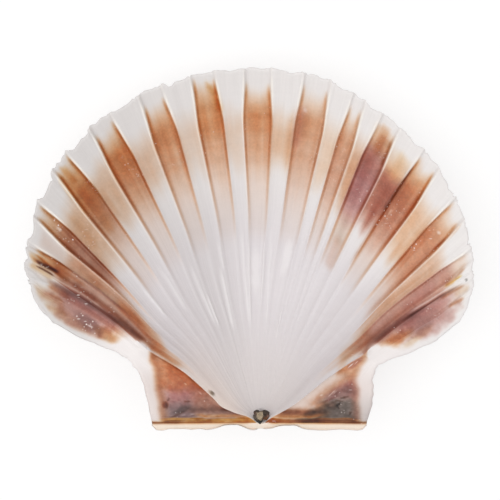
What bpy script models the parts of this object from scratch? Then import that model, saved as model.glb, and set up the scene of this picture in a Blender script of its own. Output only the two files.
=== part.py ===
"""Scallop shell: one valve (half) of the shell, lying on its back with its hollow up.

The valve grew as one piece: a ribbed fan, its two ears and the hinge edge are one solid. The dark remnant of the
ligament, left in the pit of the hinge, is a separate piece. Both are modelled in the valve's own frame, in
millimetres: the beak, from which all ribs spread, is the origin, +Y runs to the far rim, and the rim lies in the
plane Z = 0 with the hollow facing +Z. A place on the valve is given by an angle and a share t. The angle is that
of the ray from the beak, 0 along +Y and growing towards +X, and t runs from 0 on the hinge line to 1 on the rim.
At the end the valve is tipped to the angle at which it rests on its back, and the origin moves to the middle of
the base of its box.
"""

import math

import bmesh
import bpy
from mathutils import Matrix, Vector

MM = 0.001

# ---- driving dimensions, in millimetres and degrees -----------------------------------------------------------
BOWL_DEPTH = 18.0  # from the plane of the rim down to the inside of the bowl
BOWL_LEAN = 0.74  # below 1, the deepest place lies nearer to the beak than to the rim
BOWL_ROUNDNESS = 2.3  # how flat the bottom of the bowl is from side to side
WALL = 2.1  # shell wall, half way up the fan
RIM_WALL = 1.5  # shell wall at the rim
HINGE_WALL = 3.4  # shell wall at the hinge
THICKEST_DOWNWARD = 1.9  # a steep wall is never more than this many times thicker measured straight down
HINGE_Y = 2.9  # the hinge line lies this far from the beak
LEDGE_WIDTH = 2.1  # the ledge outside the hinge line
LEDGE_NOTCHES = [(-6.5, 3.6), (7.0, 3.6)]  # place and half-width of the dips on both sides of the beak
LEDGE_NOTCH_DEPTH = 1.6
LEDGE_DROP = 0.9  # how far the ledge falls away towards its edge
JUNCTION = 53.0  # angle of the crease between the fan and an ear
JUNCTION_AT_BEAK = 49.0  # the crease bends a little towards the middle there
FLANK = 61.0  # angle of the fan's free side
FLANK_SAG = 2.0  # the fan's smooth sides dip this far below the rim
FLANK_BULGE = 1.4  # the fan's side edges bow out between the notch and the rim
EAR_TOP = 0.45  # the ears end at this share of the way from hinge to rim
EAR_DISH = 0.7  # hollow in the face of an ear
KNOB_HEIGHT = 0.9  # small knob at the top of each crease
KNOB_RADIUS = 1.7
FURROW_DEPTH = 1.8  # furrows on the inside, one under each rib
FURROW_WALL = 1.15  # width of a furrow's side wall
FURROW_GATHER = 2.0  # degrees by which the furrows near the fan's sides close up towards the beak
GATHER_CENTRE, GATHER_WIDTH = 49.5, 4.5
KEEL_HEIGHT = 0.35  # sharp edge along both sides of a furrow
KEEL_WIDTH = 0.55
BAND_DISH = 0.35  # hollow of the smooth band between two furrows
RIB_HEIGHT = 1.9  # ribs on the outside
RIB_SHOULDER = 1.1  # a rib is this much wider than its furrow, on each side
LOBE_EDGE = 0.8  # degrees over which the rim steps out where a rib ends
PIT_HALF = 2.7  # half width of the pit for the ligament
PIT_LENGTH = 4.4
PIT_DEPTH = 1.6
LIGAMENT_SIZE = (4.3, 3.6, 2.2)
LIGAMENT_GAP = 0.3
REST_PITCH = -5.5  # tip about X at which the valve balances on its back
REST_ROLL = -2.4  # and about Y

# Distance from the beak to the rim, by the ray's angle.
RIM = [(-61, 66.5), (-57, 73.8), (-50, 79.8), (-40, 87.4), (-30, 92.4), (-20, 95.7), (-10, 97.1), (0, 97.5),
       (10, 96.3), (20, 92), (30, 87.5), (40, 81.8), (50, 74.3), (55, 69.5), (58, 66.2), (61, 61.5)]  # fmt: skip

# How far a rib's end stands out at the rim, by the same angle.
LOBES = [(-61, 0.4), (-50, 1.3), (-35, 1.3), (-12, 0.5), (61, 0.5)]

# Angles of both side edges of each furrow at the rim, left to right.
FURROWS = [(-55.4, -53.4), (-52.4, -49.7), (-46.9, -43.2), (-38.9, -34.1), (-29.9, -24.5), (-20.4, -15.3),
           (-11.6, -6.5), (-2.9, 2.6), (6.5, 12.0), (14.9, 18.2), (20.4, 25.0), (29.4, 34.8), (39.2, 44.5),
           (48.3, 51.8), (53.3, 56.4)]  # fmt: skip

# Outer edge of each ear, from the hinge's end up to the notch under the fan.
LEFT_EAR = [(-28.8, 2.9), (-29.9, 7.5), (-31.3, 12.8), (-32.7, 17.0), (-35.0, 20.2)]
RIGHT_EAR = [(28.8, 2.9), (30.2, 7.5), (30.9, 11.5), (30.4, 15.2), (31.9, 18.2)]

# The net of points: rows by t, with the ledge's rows as shares of its width, and the columns that no furrow gives.
ROWS = [0, 0.03, 0.07, 0.12, 0.18, 0.25, 0.33, 0.40, EAR_TOP, 0.52, 0.60, 0.68, 0.76, 0.84, 0.91, 0.96, 1]
LEDGE_ROWS = [1.0, 0.45]
FLANK_COLUMNS = [57.6, 59.4, FLANK]
BROAD_FURROW = 4.5  # a furrow wider than this many degrees has a column down its middle
BROAD_BAND = 2.0  # and so has a band between two furrows
NARROWEST = 0.35  # columns closer than this are one


# ---- small mathematics ----------------------------------------------------------------------------------------
def smooth(x, low, high):
    """0 below low, 1 above high, and a soft step between."""
    x = min(1.0, max(0.0, (x - low) / (high - low)))
    return x * x * (3 - 2 * x)


def bell(x, centre, width):
    """A bell curve of height 1."""
    return math.exp(-(((x - centre) / width) ** 2))


def through(points, x):
    """The value at x of a smooth curve through (x, value) points."""
    last = len(points) - 1
    i = next((k for k in range(1, last) if points[k][0] >= x), last)

    def slope(k):
        before, after = points[max(0, k - 1)], points[min(last, k + 1)]
        return (after[1] - before[1]) / (after[0] - before[0])

    (x0, y0), (x1, y1) = points[i - 1], points[i]
    span = x1 - x0
    s = (x - x0) / span
    start = y0 * (1 + 2 * s) * (1 - s) ** 2 + slope(i - 1) * span * s * (1 - s) ** 2
    end = y1 * s * s * (3 - 2 * s) + slope(i) * span * s * s * (s - 1)
    return start + end


def along(points, s):
    """The point at share s of the way along a smooth line through points."""
    last = len(points) - 1
    xs = [(k / last, p[0]) for k, p in enumerate(points)]
    ys = [(k / last, p[1]) for k, p in enumerate(points)]
    return Vector((through(xs, s), through(ys, s)))


def ray(angle, distance):
    """The point at a distance from the beak on the ray at angle."""
    return Vector((math.sin(math.radians(angle)), math.cos(math.radians(angle)))) * distance


# ---- the valve seen from above --------------------------------------------------------------------------------
def rim_radius(angle):
    near_rib = max(
        smooth(angle, a - LOBE_EDGE, a + LOBE_EDGE) - smooth(angle, b - LOBE_EDGE, b + LOBE_EDGE)
        for a, b in FURROWS
    )
    return through(RIM, angle) + through(LOBES, angle) * near_rib


def fan_point(angle, t):
    """A point of the fan. The columns near its sides close up a little on the way to the beak."""
    gathered = FURROW_GATHER * bell(abs(angle), GATHER_CENTRE, GATHER_WIDTH) * smooth(0.95 - t, 0, 0.4)
    narrowed = (1 - JUNCTION_AT_BEAK / JUNCTION) * abs(angle) * bell(t, 0, 0.09)
    here = angle - math.copysign(gathered + narrowed, angle)
    start = HINGE_Y / math.cos(math.radians(here))
    return ray(here, start + t * (rim_radius(angle) - start))


def side_point(angle, t):
    """A point beyond the crease: on the ear up to EAR_TOP, and on the fan's smooth side above it."""
    side = math.copysign(1, angle)
    share = (abs(angle) - JUNCTION) / (FLANK - JUNCTION)
    inner = fan_point(side * JUNCTION, t)
    edge = LEFT_EAR if side < 0 else RIGHT_EAR
    if t <= EAR_TOP:
        return inner.lerp(along(edge, t / EAR_TOP), share)
    up = (t - EAR_TOP) / (1 - EAR_TOP)
    corner = ray(side * FLANK, rim_radius(side * FLANK))
    bulge = ray(side * (FLANK + 90), FLANK_BULGE * math.sin(math.pi * up**1.6))
    straight = inner.lerp(Vector(edge[-1]).lerp(corner, up) + bulge, share)
    off_rim = ray(angle, rim_radius(angle)) - fan_point(side * JUNCTION, 1).lerp(corner, share)
    return straight + off_rim * up


def on_side(angle):
    return abs(angle) > JUNCTION


def plan(angle, t):
    """Where a point lies, seen from above. Below 0, -t is the share of the way across the ledge."""
    on = max(t, 0.0)
    point = side_point(angle, on) if on_side(angle) else fan_point(angle, on)
    if t < 0:
        width = LEDGE_WIDTH - LEDGE_NOTCH_DEPTH * sum(bell(point.x, x, half) for x, half in LEDGE_NOTCHES)
        point = point + Vector((0, t * width))
    return point


# ---- the valve's heights --------------------------------------------------------------------------------------
def bowl(angle, t):
    """Depth of the smooth bowl below the plane of the rim, before furrows and ribs."""
    t = max(t, 0.0)
    sag = FLANK_SAG * math.sin(math.pi * max(0.0, (t - EAR_TOP) / (1 - EAR_TOP)))
    if on_side(angle):
        share = (abs(angle) - JUNCTION) / (FLANK - JUNCTION)
        dish = EAR_DISH * math.sin(math.pi * share) * math.sin(math.pi * min(1, t / EAR_TOP))
        return sag * (1 - share) + dish
    deep = BOWL_DEPTH * math.sin(math.pi * t**BOWL_LEAN)
    return sag + (deep - sag) * (1 - abs(angle / JUNCTION) ** BOWL_ROUNDNESS)


def across(angle, t):
    """Millimetres inside the nearest furrow's edge (negative outside), and the share of the way across a band."""
    degree = math.radians(1) * max(6.0, plan(angle, t).length)
    inside = max(min(angle - a, b - angle) for a, b in FURROWS)
    left = min((angle - b for _, b in FURROWS if b <= angle), default=math.inf)
    right = min((a - angle for a, _ in FURROWS if a >= angle), default=math.inf)
    share = left / (left + right) if math.inf not in (left, right) else 0.0
    return inside * degree, share


def inner_relief(angle, t):
    """Height of the furrows, keels and bands over the smooth bowl."""
    if t <= 0 or (on_side(angle) and t < EAR_TOP):
        return 0.0
    inside, share = across(angle, t)
    strength = smooth(t, 0.30, 0.85) * (1 - 0.35 * smooth(t, 0.93, 1))
    keel = KEEL_HEIGHT * smooth(t, 0.45, 0.75) * (1 - smooth(t, 0.93, 0.99))
    keel *= 1 - smooth(abs(inside), 0, KEEL_WIDTH)
    if inside > 0:
        return keel - FURROW_DEPTH * strength * smooth(inside, 0, FURROW_WALL)
    return keel - BAND_DISH * strength * 4 * share * (1 - share)


def outer_relief(angle, t):
    """Height of the ribs over the smooth outside."""
    if t <= 0 or (on_side(angle) and t < EAR_TOP):
        return 0.0
    inside, _ = across(angle, t)
    strength = smooth(t, 0.08, 0.6) * (1 - 0.25 * smooth(t, 0.93, 1))
    if on_side(angle):
        strength *= smooth(t, EAR_TOP, 0.75)
    return RIB_HEIGHT * strength * smooth(inside + RIB_SHOULDER, -0.4, 2 * RIB_SHOULDER)


def knob(point, angle):
    away = point - fan_point(math.copysign(JUNCTION, angle), EAR_TOP)
    return KNOB_HEIGHT * bell(away.length, 0, KNOB_RADIUS)


def pit(point):
    """Depth of the pit in the middle of the hinge."""
    sides = 1 - smooth(abs(point.x), 0.7 * PIT_HALF, 1.15 * PIT_HALF)
    ends = 1 - smooth(point.y, HINGE_Y + 0.6 * PIT_LENGTH, HINGE_Y + 1.1 * PIT_LENGTH)
    return PIT_DEPTH * sides * ends * smooth(point.y, HINGE_Y - 2.2, HINGE_Y - 0.4)


def inner_point(angle, t):
    point = plan(angle, t)
    height = inner_relief(angle, t) - bowl(angle, t) + knob(point, angle) - pit(point)
    return Vector((*point, height - LEDGE_DROP * max(0.0, -t)))


def downward(angle, t):
    """How many times thicker a sloping wall is when it is measured straight down."""
    step, turn = 0.01, 0.5
    t = min(1 - step, max(step, t))
    here, up, right = plan(angle, t), plan(angle, t + step), plan(angle + turn, t)
    rise_up = (bowl(angle, t + step) - bowl(angle, t)) / (up - here).length
    rise_right = (bowl(angle + turn, t) - bowl(angle, t)) / (right - here).length
    return min(THICKEST_DOWNWARD, math.hypot(1, rise_up, rise_right))


def outer_point(angle, t):
    wall = HINGE_WALL + (WALL - HINGE_WALL) * smooth(t, 0, 0.25) + (RIM_WALL - WALL) * smooth(t, 0.6, 1)
    if on_side(angle):
        wall += (RIM_WALL - wall) * smooth(abs(angle), JUNCTION, FLANK)
    depth = bowl(angle, t) + wall * downward(angle, t) + outer_relief(angle, t)
    ledge = max(0.0, -t)
    return Vector((*plan(angle, t), 0.5 * wall * ledge**2 - LEDGE_DROP * ledge - depth))


# ---- building -------------------------------------------------------------------------------------------------
def columns():
    """Angles of the net's columns: the edges and feet of each furrow's walls, and the middles of what is broad."""
    found = [-JUNCTION, 0.0, JUNCTION]
    for a, b in FURROWS:
        foot = 1.1 * math.degrees(FURROW_WALL / rim_radius((a + b) / 2))
        found += [a, a + foot, b - foot, b]
        if b - a > BROAD_FURROW:
            found.append((a + b) / 2)
    for (_, left), (right, _) in zip(FURROWS, FURROWS[1:]):
        if right - left > BROAD_BAND:
            found.append((left + right) / 2)
    for angle in FLANK_COLUMNS:
        found += [-angle, angle]
    found.sort()
    return [a for k, a in enumerate(found) if k == 0 or a - found[k - 1] > NARROWEST]


def build_valve():
    """The inside and the outside are two nets of points over the same plan, joined all round by the rim."""
    angles = columns()
    rows = [-share for share in LEDGE_ROWS] + ROWS
    bm = bmesh.new()
    inside = [[bm.verts.new(inner_point(angle, t)) for angle in angles] for t in rows]
    outside = [[bm.verts.new(outer_point(angle, t)) for angle in angles] for t in rows]
    for r in range(len(rows) - 1):
        for c in range(len(angles) - 1):
            bm.faces.new((inside[r][c], inside[r][c + 1], inside[r + 1][c + 1], inside[r + 1][c]))
            bm.faces.new((outside[r][c], outside[r + 1][c], outside[r + 1][c + 1], outside[r][c + 1]))
    bmesh.ops.bridge_loops(bm, edges=[edge for edge in bm.edges if edge.is_boundary])
    bmesh.ops.recalc_face_normals(bm, faces=bm.faces)
    return finished(bm, "valve")


def valve_floor(point):
    """Height of the inside of the valve near the middle of the hinge."""
    t = max(0.0, (point.y - HINGE_Y) / (rim_radius(0) - HINGE_Y))
    return -bowl(0.0, t) - pit(point.xy)


def build_ligament():
    """A torn lump, heart-shaped from above, which stands a little out of its pit."""
    bm = bmesh.new()
    bmesh.ops.create_icosphere(bm, subdivisions=2, radius=1)
    middle = Vector((0.0, HINGE_Y + 0.42 * PIT_LENGTH, 0.0))
    half = Vector(LIGAMENT_SIZE) / 2
    for vert in bm.verts:
        vert.co.y -= 0.35 * bell(vert.co.x, 0.1, 0.3) * smooth(vert.co.y, 0.2, 1)
        vert.co.x *= 1 - 0.35 * smooth(-vert.co.y, 0, 1)
        vert.co = middle + vert.co * half
    clearance = min(vert.co.z - valve_floor(vert.co) for vert in bm.verts)
    bmesh.ops.translate(bm, verts=bm.verts, vec=(0, 0, LIGAMENT_GAP - clearance))
    return finished(bm, "ligament")


def finished(bm, name):
    bm.transform(Matrix.Scale(MM, 4))
    mesh = bpy.data.meshes.new(name)
    bm.to_mesh(mesh)
    bm.free()
    piece = bpy.data.objects.new(name, mesh)
    bpy.context.collection.objects.link(piece)
    return piece


def material(name, colour, roughness):
    made = bpy.data.materials.new(name)
    made.use_nodes = True
    shader = made.node_tree.nodes["Principled BSDF"]
    shader.inputs["Base Color"].default_value = (*colour, 1)
    shader.inputs["Roughness"].default_value = roughness
    shader.inputs["Metallic"].default_value = 0.0
    return made


def lay_down(pieces, valve):
    """Tip the pieces to the resting angle and put the origin at the middle of the base of the valve's box."""
    pitch = Matrix.Rotation(math.radians(REST_PITCH), 4, "X")
    roll = Matrix.Rotation(math.radians(REST_ROLL), 4, "Y")
    for piece in pieces:
        piece.data.transform(roll @ pitch)
    low = [min(vert.co[k] for vert in valve.data.vertices) for k in range(3)]
    high = [max(vert.co[k] for vert in valve.data.vertices) for k in range(3)]
    base = Vector(((low[0] + high[0]) / 2, (low[1] + high[1]) / 2, low[2]))
    for piece in pieces:
        piece.data.transform(Matrix.Translation(-base))


def main():
    for old in list(bpy.data.objects):
        bpy.data.objects.remove(old)
    valve, ligament = build_valve(), build_ligament()
    valve.data.materials.append(material("shell_calcite", (0.80, 0.72, 0.68), 0.35))
    ligament.data.materials.append(material("dried_ligament", (0.06, 0.045, 0.035), 0.55))
    lay_down([valve, ligament], valve)
    for piece in (valve, ligament):
        piece.data.shade_smooth()
        piece.data.set_sharp_from_angle(angle=math.radians(40))


main()
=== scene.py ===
"""One valve of a scallop shell, lying on its back with its hollow up, and the remnant of its ligament."""

import math

import bpy
import numpy as np
from mathutils import Matrix, Vector


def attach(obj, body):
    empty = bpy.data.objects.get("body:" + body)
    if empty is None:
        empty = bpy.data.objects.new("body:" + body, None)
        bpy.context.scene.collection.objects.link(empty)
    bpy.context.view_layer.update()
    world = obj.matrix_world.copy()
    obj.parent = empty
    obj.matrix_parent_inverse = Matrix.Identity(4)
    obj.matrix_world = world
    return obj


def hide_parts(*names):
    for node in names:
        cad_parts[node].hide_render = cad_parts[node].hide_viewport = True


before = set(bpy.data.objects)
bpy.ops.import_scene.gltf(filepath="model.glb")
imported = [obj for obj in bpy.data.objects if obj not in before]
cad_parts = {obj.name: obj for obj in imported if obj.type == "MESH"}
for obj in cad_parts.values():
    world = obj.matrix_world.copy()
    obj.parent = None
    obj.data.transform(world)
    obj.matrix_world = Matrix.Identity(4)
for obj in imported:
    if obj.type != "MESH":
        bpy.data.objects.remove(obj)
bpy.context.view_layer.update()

MM = 0.001

# ---- sizes of the valve, in millimetres and degrees ----
# The valve's own frame has its origin at the beak, from which all ribs spread, +Y to the far rim and Z = 0 in
# the plane of the rim. A place on it is the angle of a ray from the beak, 0 along +Y and growing towards +X,
# and a share t of the way from the hinge line (0) to the rim (1). From 0 down to -1, t crosses the hinge's
# ledge.
BOWL_DEPTH, BOWL_LEAN, BOWL_ROUNDNESS = 18.0, 0.74, 2.3
WALL, RIM_WALL, HINGE_WALL = 2.1, 1.5, 3.4
THICKEST_DOWNWARD = 1.9  # a steep wall is never more than this many times thicker measured straight down
HINGE_Y, LEDGE_WIDTH, LEDGE_DROP = 2.9, 2.1, 0.9
LEDGE_NOTCHES, LEDGE_NOTCH_DEPTH = [(-7.0, 3.7), (7.4, 3.7)], 1.3  # dips on both sides of the beak
JUNCTION, FLANK = 53.0, 61.0  # angles of the crease beside an ear and of the fan's free side
FLANK_SAG, FLANK_BULGE = 2.0, 1.4
EAR_TOP, EAR_DISH = 0.45, 0.7
KNOB_HEIGHT, KNOB_RADIUS = 0.9, 1.7
CREST_HEIGHT = 0.45  # of the crease beside an ear
FURROW_DEPTH, FURROW_WALL = 1.15, 0.8
FURROW_GATHER, GATHER_CENTRE, GATHER_WIDTH = 2.0, 49.5, 4.5  # furrows near the sides close up at the beak
TAPER = 0.55  # degrees by which each side of a furrow draws in at the very rim
KEEL_HEIGHT, KEEL_WIDTH = 0.3, 0.3
BAND_DISH = 0.35
BARE_RIDGE = 0.22  # height of bare streaks and of chalk_and_sheen ones
HINGE_RIDGE_HEIGHT, HINGE_RIDGE_SPACING = 0.08, 1.1
RIB_HEIGHT, RIB_SHOULDER = 1.9, 1.1
LOBE_EDGE = 0.8  # degrees over which the rim steps out where a rib ends
RIBLET_HEIGHT, RIBLET_SPACING = 0.2, 0.95  # of the fine ribs outside, spaced in degrees
PIT_HALF, PIT_LENGTH, PIT_DEPTH = 2.0, 3.5, 1.5
LIGAMENT_X, LIGAMENT_Y, LIGAMENT_HEIGHT = 0.5, 4.2, 1.9
REST_PITCH, REST_ROLL = -5.5, -2.4
BEAK = Vector((2.5, -48.9, 25.63))  # where the beak ends up when the valve rests

# The distance from the beak to the rim by the ray's angle, how far a rib's end stands out there, and the
# angles of both edges of each furrow at the rim.
RIM = [(-61, 66.5), (-57, 73.8), (-50, 79.8), (-40, 87.4), (-30, 92.4), (-20, 95.7), (-10, 97.1), (0, 97.5),
       (10, 96.3), (20, 92), (30, 87.5), (40, 81.8), (50, 74.3), (55, 69.5), (58, 66.2), (61, 61.5)]
LOBES = [(-61, 0.4), (-50, 1.3), (-35, 1.3), (-12, 0.5), (61, 0.5)]
FURROWS = [(-55.4, -53.4), (-52.4, -49.7), (-46.9, -43.2), (-38.9, -34.1), (-29.9, -24.5), (-20.4, -15.3),
           (-11.6, -6.5), (-2.9, 2.6), (6.5, 12.0), (14.9, 18.5), (20.4, 25.3), (29.4, 34.8), (39.2, 44.5),
           (48.3, 51.8), (53.3, 56.4)]
# The outer edge of each ear, from the hinge's end up to the notch under the fan.
LEFT_EAR = [(-28.8, 2.9), (-29.9, 7.5), (-31.3, 12.8), (-32.7, 17.0), (-35.0, 20.2)]
RIGHT_EAR = [(28.8, 2.9), (30.2, 7.5), (30.9, 11.5), (30.4, 15.2), (31.9, 18.2)]

# The crease beside each ear: the angle of the ray through it at shares t of the way. Beside the beak it lies
# almost level with the hinge line, then it swings out and runs up to the knob.
LEFT_CREASE = [(0, 14), (0.011, 24), (0.025, 34), (0.046, 47), (0.078, 53), (0.104, 54.4), (0.139, 52.6),
               (0.162, 52), (0.198, 51.4), (0.246, 50.8), (0.287, 50.7), (0.343, 51.4), (0.4, 52.4),
               (0.45, 53), (0.6, 52.2), (0.8, 52.7), (1, 53)]
RIGHT_CREASE = [(0, 26), (0.018, 34), (0.04, 42), (0.071, 47.4), (0.107, 50.0), (0.136, 50.7), (0.198, 50.9),
                (0.26, 51.0), (0.336, 51.7), (0.385, 52.1), (0.45, 52.6), (0.6, 52.2), (0.8, 52.7), (1, 53)]
# The outline of the ligament's remnant: angles from +Y towards +X in degrees, and radii in mm.
TORN_HEART = [(-208, 0.95), (-186, 1.35), (-169, 2.05), (-143, 1.85), (-125, 1.65), (-102, 2.0), (-80, 2.2),
              (-68, 2.05), (-55, 2.5), (-38, 2.45), (-21, 1.9), (-8, 1.65), (11, 1.85), (26, 2.15),
              (46, 2.35), (64, 2.4), (82, 2.15), (104, 2.05), (119, 1.5), (136, 0.95), (152, 0.95),
              (174, 1.35), (191, 2.05)]

COLUMNS, ROWS = 520, 150  # points across and along each side of the valve
THINNING = 0.62  # share of the faces that is kept, and only the outer side is thinned


# ---- small mathematics, all on whole arrays ----
def smooth(x, low, high):
    """0 below low, 1 above high, and a soft step between."""
    x = np.clip((x - low) / (high - low), 0, 1)
    return x * x * (3 - 2 * x)


def fall(x, low, high):
    """1 below low, 0 above high, and a soft step between."""
    return 1 - smooth(x, low, high)


def bell(x, centre, width):
    return np.exp(-(((x - centre) / width) ** 2))


def tint(base, colour, share):
    """Colours moved a share of the way to another colour."""
    return base + (colour - base) * share[..., None]


def through(points, x):
    """The values at x of a smooth curve through (x, value) points."""
    xs, ys = np.array(points, dtype=float).T
    slopes = np.empty_like(ys)
    slopes[1:-1] = (ys[2:] - ys[:-2]) / (xs[2:] - xs[:-2])
    slopes[0] = (ys[1] - ys[0]) / (xs[1] - xs[0])
    slopes[-1] = (ys[-1] - ys[-2]) / (xs[-1] - xs[-2])
    i = np.clip(np.searchsorted(xs, x), 1, len(xs) - 1)
    span = xs[i] - xs[i - 1]
    s = (x - xs[i - 1]) / span
    start = ys[i - 1] * (1 + 2 * s) * (1 - s) ** 2 + slopes[i - 1] * span * s * (1 - s) ** 2
    return start + ys[i] * s * s * (3 - 2 * s) + slopes[i] * span * s * s * (s - 1)


def along(points, s):
    """Places at shares s of the way along a smooth line through the points."""
    share = np.linspace(0, 1, len(points))
    return np.stack([through(list(zip(share, values)), s) for values in zip(*points)], axis=-1)


def ray(angle, distance):
    """The place at a distance from the beak, on the ray with that angle."""
    turn = np.radians(angle)
    return np.stack(np.broadcast_arrays(np.sin(turn) * distance, np.cos(turn) * distance), axis=-1)


def noise(x, y, seed):
    """Soft random values from 0 to 1, one lump for each unit of x and y."""
    table = np.random.default_rng(seed).random((256, 256))
    x, y = np.broadcast_arrays(x, y)
    i, j = np.floor(x).astype(int), np.floor(y).astype(int)
    u, v = smooth(x - i, 0, 1), smooth(y - j, 0, 1)

    def row(b):
        return table[i % 256, (j + b) % 256] * (1 - u) + table[(i + 1) % 256, (j + b) % 256] * u

    return row(0) * (1 - v) + row(1) * v


def wobble(x, y, seed):
    return noise(x, y, seed) - 0.5


# ---- the valve seen from above ----
def rim_radius(angle):
    """Each rib's end stands out, and the rim between is worn and toothed."""

    def passed(edge):
        return smooth(angle, edge - LOBE_EDGE, edge + LOBE_EDGE)

    near_rib = np.max([passed(a) - passed(b) for a, b in FURROWS], axis=0)
    worn = 0.5 * wobble(angle * 0.9, 0, 3) + 0.4 * wobble(angle * 3.1, 0, 4)
    teeth = 0.45 * smooth(noise(angle * 1.7, 0, 14), 0.62, 0.8) * smooth(noise(angle * 5, 0, 15), 0.3, 0.6)
    worn = worn - teeth * (1.25 - 0.75 * bell(angle, 12, 22))
    return through(RIM, angle) + through(LOBES, angle) * near_rib + worn


def past_crease(angle):
    """0 at the crease beside an ear, 1 at the free side."""
    return np.clip((abs(angle) - JUNCTION) / (FLANK - JUNCTION), 0, 1)


def fan_point(angle, t):
    """Points between the creases, on rays that gather, swing with the creases and sway a little."""
    kept = smooth(0.95 - t, 0, 0.4)
    gathered = FURROW_GATHER * kept * bell(abs(angle), GATHER_CENTRE, GATHER_WIDTH)
    crease = np.where(angle < 0, through(LEFT_CREASE, t), through(RIGHT_CREASE, t))
    swing = crease - JUNCTION + FURROW_GATHER * kept * bell(JUNCTION, GATHER_CENTRE, GATHER_WIDTH)
    share = abs(angle) / JUNCTION
    swing = swing * np.where(swing > 0, share**3, share)
    swaying = 1.7 * smooth(0.62 - t, 0, 0.36) * (1 - 0.8 * smooth(angle, 0, 22)) * fall(-angle, 18, 42)
    uneven = 0.5 * wobble(angle * 0.17 + 40, t * 3.5, 5)
    uneven = uneven * fall(abs(angle), 40, JUNCTION) * smooth(t, 0, 0.2)
    here = angle + np.sign(angle) * (swing - gathered) - swaying + uneven
    start = HINGE_Y / np.cos(np.radians(here))
    return ray(here, start + t * (rim_radius(angle) - start))


def side_point(angle, t, side):
    """Points beyond one side's crease: on the ear up to EAR_TOP, and on the fan's smooth side above it."""
    share = past_crease(angle)[..., None]
    inner = fan_point(side * JUNCTION, t)
    edge = LEFT_EAR if side < 0 else RIGHT_EAR
    ear_edge = along(edge, np.clip(t / EAR_TOP, 0, 1))
    up = np.clip((t - EAR_TOP) / (1 - EAR_TOP), 0, 1)[..., None]
    corner = ray(side * FLANK, rim_radius(side * FLANK))
    bulge = ray(side * (FLANK + 90), 1.0) * FLANK_BULGE * np.sin(np.pi * up**1.6)
    flank_edge = np.array(edge[-1]) * (1 - up) + corner * up + bulge
    outer = np.where(t[..., None] <= EAR_TOP, ear_edge, flank_edge)
    worn = 0.8 * wobble(t * 11, side * 3 + 9, 6) + 0.5 * wobble(t * 27, side * 3 + 9, 7)
    worn = worn * smooth(t, 0.05, 0.2) * fall(t, 0.95, 1)
    outer = outer + ray(side * (FLANK + 60), 1.0) * worn[..., None]
    at_rim = fan_point(side * JUNCTION, np.array(1.0))
    off_rim = ray(angle, rim_radius(angle)) - (at_rim * (1 - share) + corner * share)
    return inner * (1 - share) + outer * share + off_rim * up


def plan(angle, t):
    """Where points lie, seen from above. angle and t are whole grids."""
    on = np.clip(t, 0, 1)
    beyond = abs(angle)[..., None] > JUNCTION
    sides = np.where(angle[..., None] < 0, side_point(angle, on, -1), side_point(angle, on, 1))
    points = np.where(beyond, sides, fan_point(angle, on))
    width = LEDGE_WIDTH + 0.5 * wobble(points[..., 0] * 0.5, 0, 8)
    for x, half in LEDGE_NOTCHES:
        width = width - LEDGE_NOTCH_DEPTH * np.exp(-(abs(points[..., 0] - x) / half) ** 3)
    width = width * (1 - 0.55 * smooth(abs(points[..., 0]), 27.4, 28.9))
    points[..., 1] += np.minimum(t, 0) * width
    return points


# ---- the valve's heights ----
def bowl(angle, t):
    """Depth of the smooth bowl below the plane of the rim."""
    t = np.clip(t, 0, 1)
    sag = FLANK_SAG * np.sin(np.pi * np.clip((t - EAR_TOP) / (1 - EAR_TOP), 0, 1))
    share = past_crease(angle)
    dish = EAR_DISH * np.sin(np.pi * share) * np.sin(np.pi * np.clip(t / EAR_TOP, 0, 1))
    deep = BOWL_DEPTH * np.sin(np.pi * t**BOWL_LEAN)
    fan = sag + (deep - sag) * (1 - np.minimum(1, abs(angle) / JUNCTION) ** BOWL_ROUNDNESS)
    return np.where(abs(angle) > JUNCTION, sag * (1 - share) + dish, fan)


def downward(angle, t):
    """How many times thicker a sloping wall is when it is measured straight down."""
    step, turn = 0.01, 0.5
    t = np.clip(t, step, 1 - step)
    here, up, right = plan(angle, t), plan(angle, t + step), plan(angle + turn, t)
    rise_up = (bowl(angle, t + step) - bowl(angle, t)) / np.linalg.norm(up - here, axis=-1)
    aside = np.maximum(0.05, np.linalg.norm(right - here, axis=-1))
    rise_right = (bowl(angle + turn, t) - bowl(angle, t)) / aside
    return np.minimum(THICKEST_DOWNWARD, np.sqrt(1 + rise_up**2 + rise_right**2))


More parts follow.
